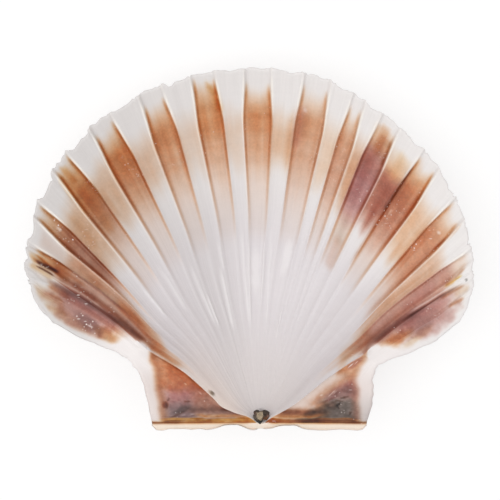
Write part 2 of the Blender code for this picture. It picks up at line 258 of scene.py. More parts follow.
class Net:
    """The net of points that both sides of the valve share, and what places on it have in common."""

    def __init__(self):
        self.angle, self.t = np.meshgrid(self.spread_columns(), self.spread_rows())
        self.point = plan(self.angle, self.t)
        self.x, self.y = self.point[..., 0], self.point[..., 1]
        self.radius = np.linalg.norm(self.point, axis=-1)
        self.turn = np.degrees(np.arctan2(self.x, self.y))
        self.f = self.radius / rim_radius(np.clip(self.turn, -FLANK, FLANK))  # share of the way from the beak
        self.beyond = abs(self.angle) > JUNCTION
        self.on_ear = self.beyond & (self.t < EAR_TOP)
        self.on_fan = ~self.on_ear & (self.t > 0)
        self.flank = smooth(abs(self.angle), 47.5, 52.5)  # 1 on the smooth sides of the fan
        self.measure_furrows()
        self.measure_edges()

    def spread_columns(self):
        """Columns lie close together near the furrows' edges, the creases and the free sides."""
        fine = np.linspace(-FLANK, FLANK, 20001)
        crowd = 0.32 + sum(bell(fine, edge, 0.8) for a, b in FURROWS for edge in (a + 0.45, b - 0.45))
        for share, centre, width in ((1.2, JUNCTION, 0.5), (1.9, 57, 3), (1.2, FLANK, 0.9)):
            crowd += share * bell(abs(fine), centre, width)
        reach = np.cumsum(crowd)
        columns = np.interp(np.linspace(reach[0], reach[-1], COLUMNS), reach, fine)
        for side in (-1, 1):
            columns[np.argmin(abs(columns - side * JUNCTION))] = side * JUNCTION
        return columns

    def spread_rows(self):
        """Rows lie close together on the ledge and hinge, at the ears' tops and at the rim."""
        fine = np.linspace(0, 1, 20001)
        crowd = 1 + 2.2 * bell(fine, 0, 0.05) + 1.2 * bell(fine, EAR_TOP, 0.03) + 14 * bell(fine, 1, 0.006)
        reach = np.cumsum(crowd)
        ledge = np.array([-1, -0.97, -0.88, -0.7, -0.5, -0.3, -0.12])
        rows = np.interp(np.linspace(reach[0], reach[-1], ROWS - len(ledge)), reach, fine)
        return np.concatenate((ledge, rows))

    def measure_furrows(self):
        """Where points lie in furrows and in the bands between; inside is in mm from the furrow's edge."""
        degree = np.radians(1) * np.maximum(6.0, self.radius)
        taper = TAPER * smooth(self.t, 0.84, 1.0)
        from_left = np.array([self.angle - a - taper for a, _ in FURROWS])
        from_right = np.array([b - taper - self.angle for _, b in FURROWS])
        gaps = np.minimum(from_left, from_right)
        self.inside = np.max(gaps, axis=0) * degree
        self.furrow = np.argmax(gaps, axis=0)
        at_left = np.take_along_axis(from_left, self.furrow[None], axis=0)[0]
        by_left = smooth(np.max(gaps, axis=0) - at_left, -0.3, 0.0)
        self.outward = np.where(self.angle < 4, by_left, 1 - by_left)  # 1 at the edge away from the middle
        self.band = np.sum([self.angle > b for _, b in FURROWS], axis=0) - 1
        ahead = np.array([a for a, _ in FURROWS] + [99.0])[self.band + 1] - self.angle
        behind = self.angle - np.array([-99.0] + [b for _, b in FURROWS])[self.band + 1]
        between = (ahead > 0) & (ahead < 50) & (behind < 50)
        self.band_share = np.where(between, behind / np.maximum(1e-6, ahead + behind), 0)

    def measure_edges(self):
        """Distances in mm from the crease beside each ear, on both sides of it, and to the free edge."""
        width = np.linalg.norm(self.point[:, -1] - plan(np.full(ROWS, JUNCTION), self.t[:, -1]), axis=-1)
        self.from_crease = past_crease(self.angle) * width[:, None]
        self.off_crest = np.maximum(0, JUNCTION - abs(self.angle)) * np.radians(1) * self.radius
        rim = (1 - self.t) * rim_radius(self.angle)
        ledge = (self.t + 1) * LEDGE_WIDTH
        beside = np.maximum(0, FLANK - abs(self.angle)) / (FLANK - JUNCTION) * width[:, None]
        self.edge = np.minimum(np.minimum(rim, ledge), beside)


def rounded(net, wall):
    """How far each side is drawn in so that the free edge is round, in mm."""
    share = np.clip(net.edge / (0.6 * wall), 0, 1)
    return 0.5 * wall * (1 - np.sqrt(1 - (1 - share) ** 2))


def wall_thickness(net):
    """The wall is thickest at the hinge and thinnest at the rim and the free sides."""
    wall = HINGE_WALL + (WALL - HINGE_WALL) * smooth(net.t, 0, 0.25)
    wall = wall + (RIM_WALL - WALL) * smooth(net.t, 0.6, 1)
    return wall + (RIM_WALL - wall) * smooth(abs(net.angle), JUNCTION, FLANK)


def furrow_relief(net):
    """Furrows with a keel along each edge, and dished bands between them; the outermost are almost flat."""
    t, inside = net.t, net.inside
    strength = smooth(t, 0.36, 0.92) * (1 - 0.35 * smooth(t, 0.93, 1)) * (1 - 0.75 * net.flank)
    wall = FURROW_WALL * (1 + 0.8 * fall(t, 0.5, 0.85))
    keel = KEEL_HEIGHT * smooth(t, 0.45, 0.75) * fall(t, 0.95, 1) * np.exp(-abs(inside) / KEEL_WIDTH)
    lumpy = 0.4 + 1.2 * noise(net.angle * 0.31, t * 6, 13)
    faint = 0.16 * smooth(t, 0.16, 0.32) * fall(t, 0.5, 0.7) * bell(inside, 0, 0.55) * lumpy
    floor = FURROW_DEPTH * strength * smooth(inside, 0, wall)
    dish = BAND_DISH * strength * 4 * net.band_share * (1 - net.band_share)
    thread = 0.08 * smooth(t, 0.4, 0.7) * fall(t, 0.9, 0.97) * bell(inside, 1.75, 0.22) * (1 - net.outward)
    return faint + (keel + thread) * (1 - net.flank) - np.where(inside > 0, floor, dish)


def streak_mark(net, half, path):
    """1 along the middle of a streak and 0 beside it, with a wandering edge."""
    turns, fs = np.array(path[::-1]).T
    middle = np.interp(net.f, fs, turns)
    share = (net.f - fs[0]) / (fs[-1] - fs[0])
    wander = 0.3 * wobble(net.turn * 0.7, net.f * 14, 41)
    off = (net.turn - middle) * np.radians(1) * net.radius + wander
    point = smooth(share, -0.12, 0.15) * fall(share, 0.8, 1.1)
    return point * bell(off, 0, half * (0.6 + 0.4 * point)) * net.on_fan


def inner_height(net):
    """Heights of the hollow side."""
    t = net.t
    height = np.where(net.on_fan, furrow_relief(net), 0) - bowl(net.angle, t)
    for name, _, half, path in STREAKS:
        if name in ("bare", "chalk_and_sheen"):
            height += BARE_RIDGE * streak_mark(net, half, path)
    # knobs at the tops of the creases, and the raised crest of each crease
    for side in (-1, 1):
        top = fan_point(np.array(side * JUNCTION), np.array(EAR_TOP))
        away = np.linalg.norm(net.point - top, axis=-1)
        height += KNOB_HEIGHT * bell(away, 0, KNOB_RADIUS)
    crest = CREST_HEIGHT * np.exp(-net.off_crest / 0.8 - net.from_crease / 0.45)
    height += crest * smooth(t, 0.02, 0.1) * fall(t, EAR_TOP - 0.03, EAR_TOP + 0.03)
    # the pit of the hinge and the fine ridges along the hinge line
    from_pit = np.hypot((net.x - LIGAMENT_X) / PIT_HALF, (net.y - LIGAMENT_Y) / (0.5 * PIT_LENGTH))
    height -= PIT_DEPTH * fall(from_pit, 0.55, 1.1)
    above = net.y - HINGE_Y
    ridges = np.sin(2 * np.pi * above / HINGE_RIDGE_SPACING) * fall(above, 1.5, 4)
    height += HINGE_RIDGE_HEIGHT * ridges * net.on_ear * (t > 0)
    return height - LEDGE_DROP * np.maximum(0, -t) - rounded(net, wall_thickness(net))


def outer_height(net):
    """Heights of the back: a rib under each furrow, fine riblets on all of it, and steps of growth."""
    t = net.t
    strength = smooth(t, 0.08, 0.6) * (1 - 0.25 * smooth(t, 0.93, 1))
    strength = strength * np.where(net.beyond, smooth(t, EAR_TOP, 0.75), 1)
    ribs = RIB_HEIGHT * strength * smooth(net.inside + RIB_SHOULDER, -0.4, 2 * RIB_SHOULDER)
    wall = wall_thickness(net)
    depth = bowl(net.angle, t) + wall * downward(net.angle, t) + np.where(net.on_fan, ribs, 0)
    ledge = np.maximum(0, -t)
    grooves = 0.5 * RIBLET_HEIGHT * (1 - np.sin(2 * np.pi * net.angle / RIBLET_SPACING)) * smooth(t, 0.2, 0.5)
    rings = 0.16 * noise(0, t * 26, 11) + 0.25 * noise(0, t * 7, 12) * smooth(t, 0.1, 0.3)
    depth -= np.where(net.on_fan, grooves + rings, 0.4 * rings) * fall(t, 0.97, 1)
    return 0.5 * wall * ledge**2 - LEDGE_DROP * ledge - depth + rounded(net, wall)


# ---- placing ----
TIP = Matrix.Rotation(math.radians(REST_ROLL), 4, "Y") @ Matrix.Rotation(math.radians(REST_PITCH), 4, "X")


def placed(points):
    """From the valve's own frame in millimetres to the world in metres."""
    turn = np.array(TIP.to_3x3())
    return (points @ turn.T + np.array(BEAK)) * MM


def store(mesh, name, values):
    """Keep a value or a colour for each point of a mesh."""
    kind, field = ("FLOAT", "value") if values.ndim == 1 else ("FLOAT_COLOR", "color")
    if field == "color":
        values = np.hstack((values, np.ones((len(values), 1))))
    mesh.attributes.new(name, kind, "POINT").data.foreach_set(field, values.ravel().astype(np.float32))


def move_points(mesh, points):
    """Give every point of a mesh its place, from the valve's own frame."""
    mesh.vertices.foreach_set("co", placed(points).ravel())
    mesh.update()


def finish_with(piece, kind, **settings):
    """Add a modifier to the piece that is selected, and apply it."""
    bpy.ops.object.modifier_add(type=kind)
    modifier = piece.modifiers[-1]
    for name, value in settings.items():
        setattr(modifier, name, value)
    bpy.ops.object.modifier_apply(modifier=modifier.name)


# ---- the valve ----
def build_valve():
    """A grid, made a closed shell by Solidify, whose inner and outer points are then laid on the net."""
    net = Net()
    count = COLUMNS * ROWS
    bpy.ops.object.select_all(action="DESELECT")
    bpy.ops.mesh.primitive_grid_add(x_subdivisions=COLUMNS - 1, y_subdivisions=ROWS - 1, size=1)
    valve = bpy.context.object
    valve.name = "scallop_valve"
    assert len(valve.data.vertices) == count, len(valve.data.vertices)
    finish_with(valve, "SOLIDIFY", thickness=0.01, offset=-1)
    heights = inner_height(net), outer_height(net)
    move_points(valve.data, np.vstack([np.dstack((net.point, height)).reshape(-1, 3) for height in heights]))
    stain, pigment = (np.concatenate(pair) for pair in zip(inner_colours(net), outer_colours(net)))
    store(valve.data, "stain", stain)
    store(valve.data, "pigment", pigment)
    store(valve.data, "ray", np.tile(net.angle.ravel(), 2))
    store(valve.data, "reach", np.tile(net.radius.ravel(), 2))
    store(valve.data, "flaking", np.append(flaking(net), np.zeros(count)))
    store(valve.data, "outside", np.repeat([0.0, 1.0], count))
    outside = valve.vertex_groups.new(name="outside")
    outside.add(list(range(count, 2 * count)), 1.0, "REPLACE")
    finish_with(valve, "DECIMATE", ratio=THINNING, vertex_group=outside.name)
    bpy.ops.object.shade_smooth()
    return valve


# ---- the ligament ----
def build_ligament():
    """A dried, torn lump: two unequal lobes, a point towards the hinge, and a paler face where it tore."""
    bpy.ops.object.select_all(action="DESELECT")
    bpy.ops.mesh.primitive_uv_sphere_add(segments=112, ring_count=72, radius=1)
    ligament = bpy.context.object
    ligament.name = "ligament_remnant"
    points = np.empty(len(ligament.data.vertices) * 3)
    ligament.data.vertices.foreach_get("co", points)
    x, y, z = points.reshape(-1, 3).T
    around = np.degrees(np.arctan2(x, y))
    share = np.hypot(x, y)
    lump = wobble(x * 2.3 + 9, y * 2.3 + z + 9, 91)
    crumb = wobble(x * 6 + 40, y * 6 + z * 4 + 9, 92)
    radius = through(TORN_HEART, around) * share**0.8 * (1 + 0.16 * crumb * share)
    across, up = x / np.maximum(share, 1e-6) * radius, y / np.maximum(share, 1e-6) * radius
    top = 0.6 + 0.16 * x - 0.2 * y + 0.5 * lump + 0.35 * crumb
    height = np.where(z > 0, np.minimum(z, top * smooth(z, 0, 0.5)), z) * 0.5 * LIGAMENT_HEIGHT
    middle = np.array([LIGAMENT_X, LIGAMENT_Y, 0.45 * LIGAMENT_HEIGHT - PIT_DEPTH - 0.2])
    move_points(ligament.data, np.stack((across, up, height), axis=-1) + middle)
    # a squarish, paler face left of the middle, rust on the right lobe and at the top left, and a black tip
    face = (abs((across + 0.45) / (0.85 + 0.2 * up)) ** 6 + abs((up - 0.45) / 1.15) ** 6) ** (1 / 6)
    torn = fall(face + 0.4 * lump + 0.3 * crumb, 0.8, 1.05)
    tip = smooth(-up - 0.3 * abs(across), 0.25, 0.75)
    colour = tint(HORN_DARK, HORN_GREY, bell(np.hypot(across + 1.5, up + 0.1), 0, 0.6))
    for x_at, y_at, size, shade in LIGAMENT_SPOTS:
        spot = bell(np.hypot(across - x_at, up - y_at), 0, size) * (0.75 + 1.2 * crumb)
        colour = tint(colour, shade, np.clip(spot, 0, 1))
    colour = tint(colour, HORN_BLACK, tip)
    colour = tint(colour, HORN_TORN, torn * (z > 0))
    store(ligament.data, "stain", colour)
    bpy.ops.object.shade_smooth()
    return ligament


# ---- colours ----
def linear(code):
    """An sRGB hex colour as linear red, green and blue."""
    parts = [int(code[k : k + 2], 16) / 255 for k in (1, 3, 5)]
    return np.array([p / 12.92 if p <= 0.04045 else ((p + 0.055) / 1.055) ** 2.4 for p in parts])


WHITE_RIM = linear("#f0ebe9")  # the thin, fresh rim
# painted shade: the rim's white on the left, darker where that side of the bowl lies in shade
PAINTED_SHADE_LEFT_RIM = linear("#dcd7d5")
WHITE_DISC = linear("#e3dddf")
PAINTED_SHADE_LEFT_DISC = linear("#d9d3d4")  # painted shade, left of the middle
WHITE_BEAK = linear("#e5dedd")  # the older, thicker shell near the beak, a warm grey
WHITE_EDGE = linear("#e9ddd9")  # the bare strips of the ears
CREAM_AND_PAINTED_LIGHT_BEAK = linear("#ffefe4")  # warm cream, and painted light on the slope beside the left crease, which lies in shade
WHITE_KNOB = linear("#f6efed")
# painted shade on the low end of the right ear's strip
PAINTED_SHADE_EAR_STRIP = linear("#cdc2bf")
# pale chalky flakes and scratches, and painted highlights and painted reflections
CHALK_AND_SHEEN = linear("#f4f0f0")
CREAM_LEDGE = linear("#feeddc")
# a painted highlight along the keels
PAINTED_HIGHLIGHT_KEEL = linear("#fffaf3")
WARM_PAINTED_LIGHT_FURROW = linear("#f7eee9")  # the furrows' floors: warmer, and painted lighter against the shade in them

HORN_DARK = linear("#3a2c23")  # dried ligament
HORN_BLACK = linear("#201d19")
HORN_RUST = linear("#7d4a1f")
HORN_ROSE = linear("#7a5648")
HORN_GREY = linear("#5f5347")
HORN_TORN = linear("#a6937a")

LIGAMENT_SPOTS = [(1.2, -0.3, 0.6, HORN_RUST), (1.85, 0.45, 0.4, HORN_ROSE), (-1.6, 1.1, 0.4, HORN_ROSE)]

PIGMENTS = {  # the colour that one full layer of each pigment gives to white shell
    "ochre": linear("#c48957"),
    "gold": linear("#d4843f"),
    "orange": linear("#da8a55"),
    "rust": linear("#b57753"),
    "rose": linear("#bf856a"),
    "plum": linear("#b37979"),
    "slate": linear("#77656b"),
    "ash": linear("#7c7a76"),
    "umber": linear("#74503f"),
    "amber": linear("#ce8622"),
}

# The colour in each furrow: where it starts below the rim and where it ends towards the beak, as shares of
# the way from the beak, and how much of each pigment it holds. Gold lies near the rim, rust and orange below
# it, and rose and plum last.
FURROW_STAINS = [
    # start, end, gold, orange, rust, rose, plum
    (0.97, 0.6, 0, 0, 0, 0, 0),
    (0.955, 0.47, 0.45, 0.08, 0.15, 0, 0.2),
    (0.97, 0.67, 0.3, 0, 0.6, 0.1, 0.25),
    (0.97, 0.73, 0.52, 0.12, 0.4, 0.12, 0),
    (0.955, 0.74, 0.28, 0.52, 0.12, 0.1, 0),
    (0.955, 0.74, 0.12, 0.48, 0.05, 0.1, 0),
    (0.97, 0.745, 0.2, 0.45, 0, 0.1, 0),
    (0.95, 0.75, 0.1, 0.5, 0, 0.08, 0),
    (0.955, 0.735, 0.05, 0.3, 0, 0.2, 0),
    (0.945, 0.72, 0.1, 0.25, 0, 0.22, 0.06),
    (0.96, 0.72, 0.12, 0, 0, 0.06, 0.82),
    (0.965, 0.715, 0.2, 0.44, 0.05, 0.14, 0.25),
    (0.965, 0.69, 0.08, 0.39, 0, 0.12, 0.1),
    (0.965, 0.46, 0, 0.1, 0, 0.1, 0.31),
    (0.97, 0.6, 0, 0, 0, 0, 0),
]

# The washes of colour in the bands between the furrows, from the left: start, end, ochre, orange, rose, plum.
BAND_WASHES = [
    (0.93, 0.5, 0.1, 0.15, 0.3, 0.25),
    (0.89, 0.5, 0, 0.25, 0.45, 0),
    (0.94, 0.7, 0.12, 0.18, 0.12, 0),
    (0.94, 0.75, 0.1, 0.2, 0.1, 0),
    (0.93, 0.755, 0, 0.22, 0.08, 0),
    (0.93, 0.76, 0, 0.17, 0.06, 0),
    (0.92, 0.76, 0, 0.17, 0.05, 0),
    (0.915, 0.755, 0, 0.28, 0.03, 0),
    (0.92, 0.74, 0, 0.24, 0, 0),
    (0.93, 0.71, 0, 0.3, 0.2, 0),
    (0.945, 0.725, 0, 0.45, 0.1, 0.75),
    (0.93, 0.715, 0, 0.48, 0, 0),
    (0.91, 0.5, 0, 0.3, 0.2, 0),
    (0.93, 0.5, 0.05, 0.1, 0.2, 0.3),
]


def wipe(amount, share):
    """Take a share of every pigment away."""
    for layer in amount.values():
        layer *= 1 - share


def lay(amount, share, **layers):
    """Lay pigments on, all in the places that share gives."""
    for name, full in layers.items():
        amount[name] += share * full


def furrow_colour(net, amount):
    """The stains on the furrows' floors."""
    f, inside = net.f, net.inside
    start, end, gold, orange, rust, rose, plum = np.array(FURROW_STAINS).T[:, net.furrow]
    uneven, streaky = wobble(net.angle * 0.9, f * 9, 21), wobble(net.angle * 2.3, f * 5, 22)
    growth = wobble(net.angle * 0.1, f * 80, 23)
    within = smooth(inside, -0.12, 0.12) * net.on_fan
    # colour starts softly on the floor, further out in a point along each wall's foot, and late on the crest
    floor = fall(f + 0.03 * uneven, start - 0.075, start + 0.012)
    tip = fall(f + 0.02 * uneven, start - 0.02, start + 0.02)
    late = fall(f, 0.85, 0.92)
    at_tip = bell(inside, 0.75, 0.42)
    begun = floor + (tip - floor) * at_tip
    begun = late + (begun - late) * smooth(inside, 0.05, 0.45)
    fade = end + 0.03 * uneven
    lasting = smooth(f, fade - 0.08, fade + 0.09)
    trailing = smooth(f, fade - 0.16, fade + 0.06)
    body = within * begun * (1 + 0.35 * uneven + 0.35 * streaky + 0.22 * growth)
    lay(
        amount, body, gold=gold * smooth(f, 0.8, 0.88) * (1 + 0.5 * at_tip), orange=orange * lasting,
        rust=rust * lasting * (1 - 0.6 * smooth(f, 0.83, 0.91)),
        rose=(rose + 0.08) * trailing * (1 - 0.5 * smooth(f, 0.86, 0.94)),
        plum=plum * smooth(f, fade - 0.08, fade + 0.05) * fall(f, 0.87, 0.94),
    )
    lay(
        amount, within, rose=0.045 * smooth(f, 0.5, 0.58) * fall(f, 0.66, 0.74),
        orange=0.03 * smooth(f, 0.52, 0.6) * fall(f, 0.68, 0.76),
    )
    # a rusty line at the foot of each wall, which goes on inwards as a soft tan one
    foot = within * bell(inside, 0.45, 0.35) * np.minimum(1, gold + orange + rust + rose + plum)
    rusty = smooth(f, end - 0.05, end + 0.08)
    lay(
        amount, foot * begun, rust=0.12 * rusty, rose=0.18 * rusty * fall(f, 0.8, 0.9),
        umber=0.03 * smooth(f, end, end + 0.05) * (0.5 + net.outward),
    )
    lay(amount, foot, orange=0.3 * smooth(f, end - 0.22, end - 0.04) * fall(f, end + 0.02, end + 0.1))


def keel_with_painted_highlight(net):
    """The bare keel along the outward edge of each furrow, and along both edges near the rim, with a painted
    highlight along it.
    """
    before_rim = 1 - 0.85 * smooth(net.f, 0.95, 0.985)
    outward = smooth(net.f, 0.55, 0.72) * before_rim * net.outward
    both = smooth(net.f, 0.86, 0.93) * before_rim
    return np.maximum(outward, both) * bell(net.inside, -0.05, 0.26) * net.on_fan * (1 - net.flank)


def band_colour(net, amount):
    """The fainter washes between the furrows."""
    f, last = net.f, len(BAND_WASHES) - 1
    start, end, ochre, orange, rose, plum = np.array(BAND_WASHES).T[:, np.clip(net.band, 0, last)]
    uneven, streaky = wobble(net.angle * 0.8, f * 11, 31), wobble(net.angle * 2.1, f * 3, 32)
    growth = wobble(net.angle * 0.1, f * 80, 23)
    between = fall(net.inside, -0.12, 0.12) * net.on_fan * (net.band >= 0) * (net.band <= last)
    begun = fall(f + 0.03 * uneven, start - 0.09, start + 0.01)
    lasting = smooth(f + 0.03 * uneven, end - 0.06, end + 0.06)
    wash = between * begun * lasting * (1 + 0.5 * uneven + 0.3 * streaky + 0.2 * growth)
    lay(amount, wash, ochre=ochre, orange=orange, rose=rose, plum=plum * fall(f, 0.85, 0.9))


# Streaks: pigment, amount, half width in mm, and path as (angle, share of the way from the beak) points from
# the rim inwards. "bare" wipes out what is painted before it. The shell is raised under bare and
# chalk_and_sheen ones; some of these are pale shell, others painted highlights.
STREAKS = [
    # left flank
    ("umber", 0.3, 0.3, [(-50.9, 0.975), (-49.9, 0.9), (-49.1, 0.8), (-48.5, 0.7), (-47.9, 0.58)]),
    ("orange", 0.35, 0.6, [(-51.3, 0.89), (-50.7, 0.83), (-50.2, 0.76)]),
    ("slate", 0.08, 0.8, [(-51.9, 0.9), (-51.3, 0.8), (-50.6, 0.7), (-50.1, 0.6), (-49.9, 0.54)]),
    ("umber", 0.08, 0.4, [(-51.4, 0.82), (-50.6, 0.72), (-50.3, 0.65)]),
    ("rose", 0.17, 2.2, [(-48.3, 0.97), (-48.2, 0.92), (-48.1, 0.87)]),
    ("orange", 0.45, 1.1, [(-48.1, 0.64), (-47.9, 0.54), (-48.6, 0.42)]),
    ("rust", 0.3, 1.0, [(-51.4, 0.54), (-51.6, 0.44), (-51.9, 0.34)]),
    ("orange", 0.35, 0.8, [(-50.6, 0.47), (-50.6, 0.41), (-49.9, 0.34)]),
    ("orange", 0.3, 0.5, [(-52.0, 0.49), (-51.7, 0.42), (-50.9, 0.36)]),
    ("gold", 0.3, 0.7, [(-53.6, 0.985), (-53.5, 0.94), (-53.3, 0.89)]),
    ("gold", 0.4, 0.9, [(-52.4, 0.985), (-52.2, 0.94), (-51.8, 0.9)]),
    ("plum", 0.35, 1.5, [(-54.6, 0.87), (-54.2, 0.8), (-53.8, 0.7), (-53.2, 0.6)]),
    ("orange", 0.35, 0.9, [(-55.1, 0.905), (-54.7, 0.86), (-54.2, 0.81)]),
    ("ochre", 0.35, 1.2, [(-57.3, 0.98), (-57.2, 0.92), (-56.7, 0.85)]),
    ("ochre", 0.3, 0.8, [(-59.3, 0.95), (-58.9, 0.9), (-58.4, 0.85)]),
    ("rust", 0.25, 0.35, [(-56.6, 0.92), (-56.4, 0.88), (-56.1, 0.85)]),
    ("slate", 0.42, 1.0, [(-54.3, 0.89), (-53.3, 0.77), (-52.5, 0.67), (-51.6, 0.57), (-51.2, 0.49)]),
    ("umber", 0.17, 0.6, [(-54.2, 0.9), (-53.2, 0.77), (-52.4, 0.66), (-51.6, 0.56), (-51.3, 0.49)]),
    ("rust", 0.12, 1.6, [(-53.0, 0.64), (-52.5, 0.56), (-52.0, 0.48)]),
    ("bare", 0.5, 0.3, [(-53.4, 0.94), (-52.7, 0.85), (-52.2, 0.77), (-51.6, 0.68)]),
    # a pale crest with a painted highlight along it
    ("bare", 0.9, 0.35, [(-56.0, 0.995), (-55.5, 0.94), (-54.8, 0.89)]),
    # a painted glint between two dark strokes
    ("bare", 0.8, 0.2, [(-52.85, 0.965), (-52.5, 0.93), (-52.2, 0.895)]),
    ("umber", 0.95, 0.4, [(-52.5, 0.96), (-52.1, 0.92), (-51.5, 0.865)]),
    ("rust", 0.5, 0.5, [(-52.4, 0.97), (-52.1, 0.92), (-51.5, 0.86)]),
    ("umber", 0.9, 0.22, [(-53.2, 0.96), (-53.0, 0.93), (-52.65, 0.89)]),
    # right flank
    ("umber", 0.06, 0.25, [(49.0, 0.93), (48.1, 0.8), (47.6, 0.7), (46.9, 0.58)]),
    ("orange", 0.06, 1.2, [(49.9, 0.98), (50.2, 0.92), (50.0, 0.84)]),
    ("plum", 0.2, 1.8, [(50.3, 0.83), (50.1, 0.75), (49.9, 0.67)]),
    ("ochre", 0.3, 1.4, [(47.9, 0.54), (48.3, 0.46), (49.0, 0.38)]),
    ("rust", 0.55, 0.4, [(51.3, 0.96), (51.6, 0.92), (51.4, 0.87)]),
    ("amber", 0.4, 0.35, [(52.2, 0.95), (52.1, 0.91), (51.7, 0.875)]),
    ("plum", 0.3, 1.5, [(54.4, 0.92), (53.8, 0.8), (53.0, 0.68), (51.8, 0.56)]),
    ("rust", 0.45, 0.35, [(54.2, 0.955), (53.9, 0.91), (53.6, 0.85)]),
    ("umber", 0.45, 0.25, [(53.6, 0.93), (53.2, 0.85), (52.6, 0.77), (52.2, 0.69)]),
    ("slate", 0.4, 1.0, [(52.9, 0.78), (52.3, 0.7), (51.6, 0.61), (50.8, 0.51)]),
    ("rust", 0.15, 1.2, [(51.7, 0.6), (51.0, 0.53), (50.6, 0.46)]),
    ("rose", 0.35, 1.5, [(53.4, 0.64), (52.6, 0.56), (52.0, 0.48)]),
    ("rust", 0.5, 0.4, [(56.7, 0.96), (56.5, 0.93), (56.3, 0.89)]),
    ("ochre", 0.2, 0.9, [(55.3, 0.98), (55.0, 0.95), (54.7, 0.91)]),
    ("bare", 0.6, 0.3, [(53.0, 0.935), (52.4, 0.84), (51.9, 0.77), (51.5, 0.71)]),
    # a painted glint beside the amber spot
    ("bare", 0.9, 0.25, [(52.7, 0.98), (52.6, 0.95), (52.4, 0.915)]),
    # painted highlights along low raised ridges in the middle of the disc
    ("chalk_and_sheen", 0.6, 0.3, [(-39.5, 0.57), (-39.5, 0.52), (-39.6, 0.46)]),
    ("chalk_and_sheen", 0.6, 0.35, [(-31.8, 0.57), (-31.8, 0.5), (-31.9, 0.42)]),
    ("chalk_and_sheen", 0.6, 0.35, [(-23.1, 0.51), (-23.3, 0.42), (-23.5, 0.33)]),
    ("chalk_and_sheen", 0.6, 0.3, [(-21.7, 0.41), (-21.8, 0.32)]),
    ("chalk_and_sheen", 0.7, 0.35, [(-13.9, 0.47), (-14.3, 0.38), (-14.9, 0.29)]),
    ("chalk_and_sheen", 0.5, 0.3, [(-12.4, 0.54), (-12.6, 0.46)]),
    ("chalk_and_sheen", 0.6, 0.3, [(-5.1, 0.57), (-5.2, 0.44), (-5.5, 0.3)]),
    ("chalk_and_sheen", 0.6, 0.3, [(-3.3, 0.52), (-3.7, 0.41), (-4.4, 0.3)]),
    ("chalk_and_sheen", 0.6, 0.3, [(1.7, 0.52), (1.5, 0.44), (1.2, 0.34)]),
    ("chalk_and_sheen", 0.5, 0.3, [(4.0, 0.56), (4.0, 0.43), (3.9, 0.3)]),
    ("chalk_and_sheen", 0.5, 0.3, [(11.4, 0.35), (11.2, 0.26)]),
    # along single furrows
    ("plum", 0.25, 1.3, [(7.7, 0.915), (7.4, 0.86), (7.3, 0.8)]),
    ("gold", 0.5, 0.9, [(-8.6, 0.975), (-7.6, 0.94), (-7.0, 0.89)]),
    ("rust", 0.5, 1.6, [(23.2, 0.955), (23.0, 0.925), (22.9, 0.89)]),
    ("rust", 0.5, 0.5, [(24.4, 0.955), (24.6, 0.92), (24.7, 0.88)]),
    ("orange", 0.42, 1.9, [(22.6, 0.975), (22.8, 0.94), (22.8, 0.905)]),
    ("gold", 0.2, 2.2, [(27.6, 0.955), (27.7, 0.92), (27.6, 0.87)]),
    ("slate", 0.5, 0.5, [(30.1, 0.94), (29.9, 0.87), (29.6, 0.78)]),
    ("rust", 0.3, 0.4, [(29.9, 0.82), (29.7, 0.72), (29.4, 0.6)]),
    ("orange", 0.3, 1.2, [(40.6, 0.88), (40.4, 0.8), (40.2, 0.72)]),
    ("rose", 0.3, 0.6, [(43.7, 0.9), (43.5, 0.78), (43.2, 0.66), (43.0, 0.54)]),
    ("rust", 0.5, 0.35, [(44.1, 0.975), (44.1, 0.92), (43.9, 0.85)]),
    ("ochre", 0.2, 1.3, [(-41.0, 0.9), (-41.2, 0.84), (-41.6, 0.77)]),
    ("gold", 0.5, 0.8, [(-36.6, 0.985), (-36.6, 0.96), (-36.4, 0.92)]),
    ("gold", 0.35, 0.8, [(-38.0, 0.97), (-38.2, 0.94), (-38.4, 0.9)]),
    ("gold", 0.25, 1.7, [(-36.4, 0.9), (-36.4, 0.83), (-36.6, 0.75)]),
    ("ochre", 0.08, 1.8, [(22.6, 0.71), (22.8, 0.66), (23.2, 0.6)]),
    ("ash", 0.1, 1.4, [(22.6, 0.69), (22.8, 0.65), (23.2, 0.61)]),
    ("rose", 0.2, 1.4, [(22.9, 0.63), (23.1, 0.58), (23.4, 0.53)]),
    ("orange", 0.15, 0.8, [(5.9, 0.89), (5.9, 0.81), (6.0, 0.74)]),
]
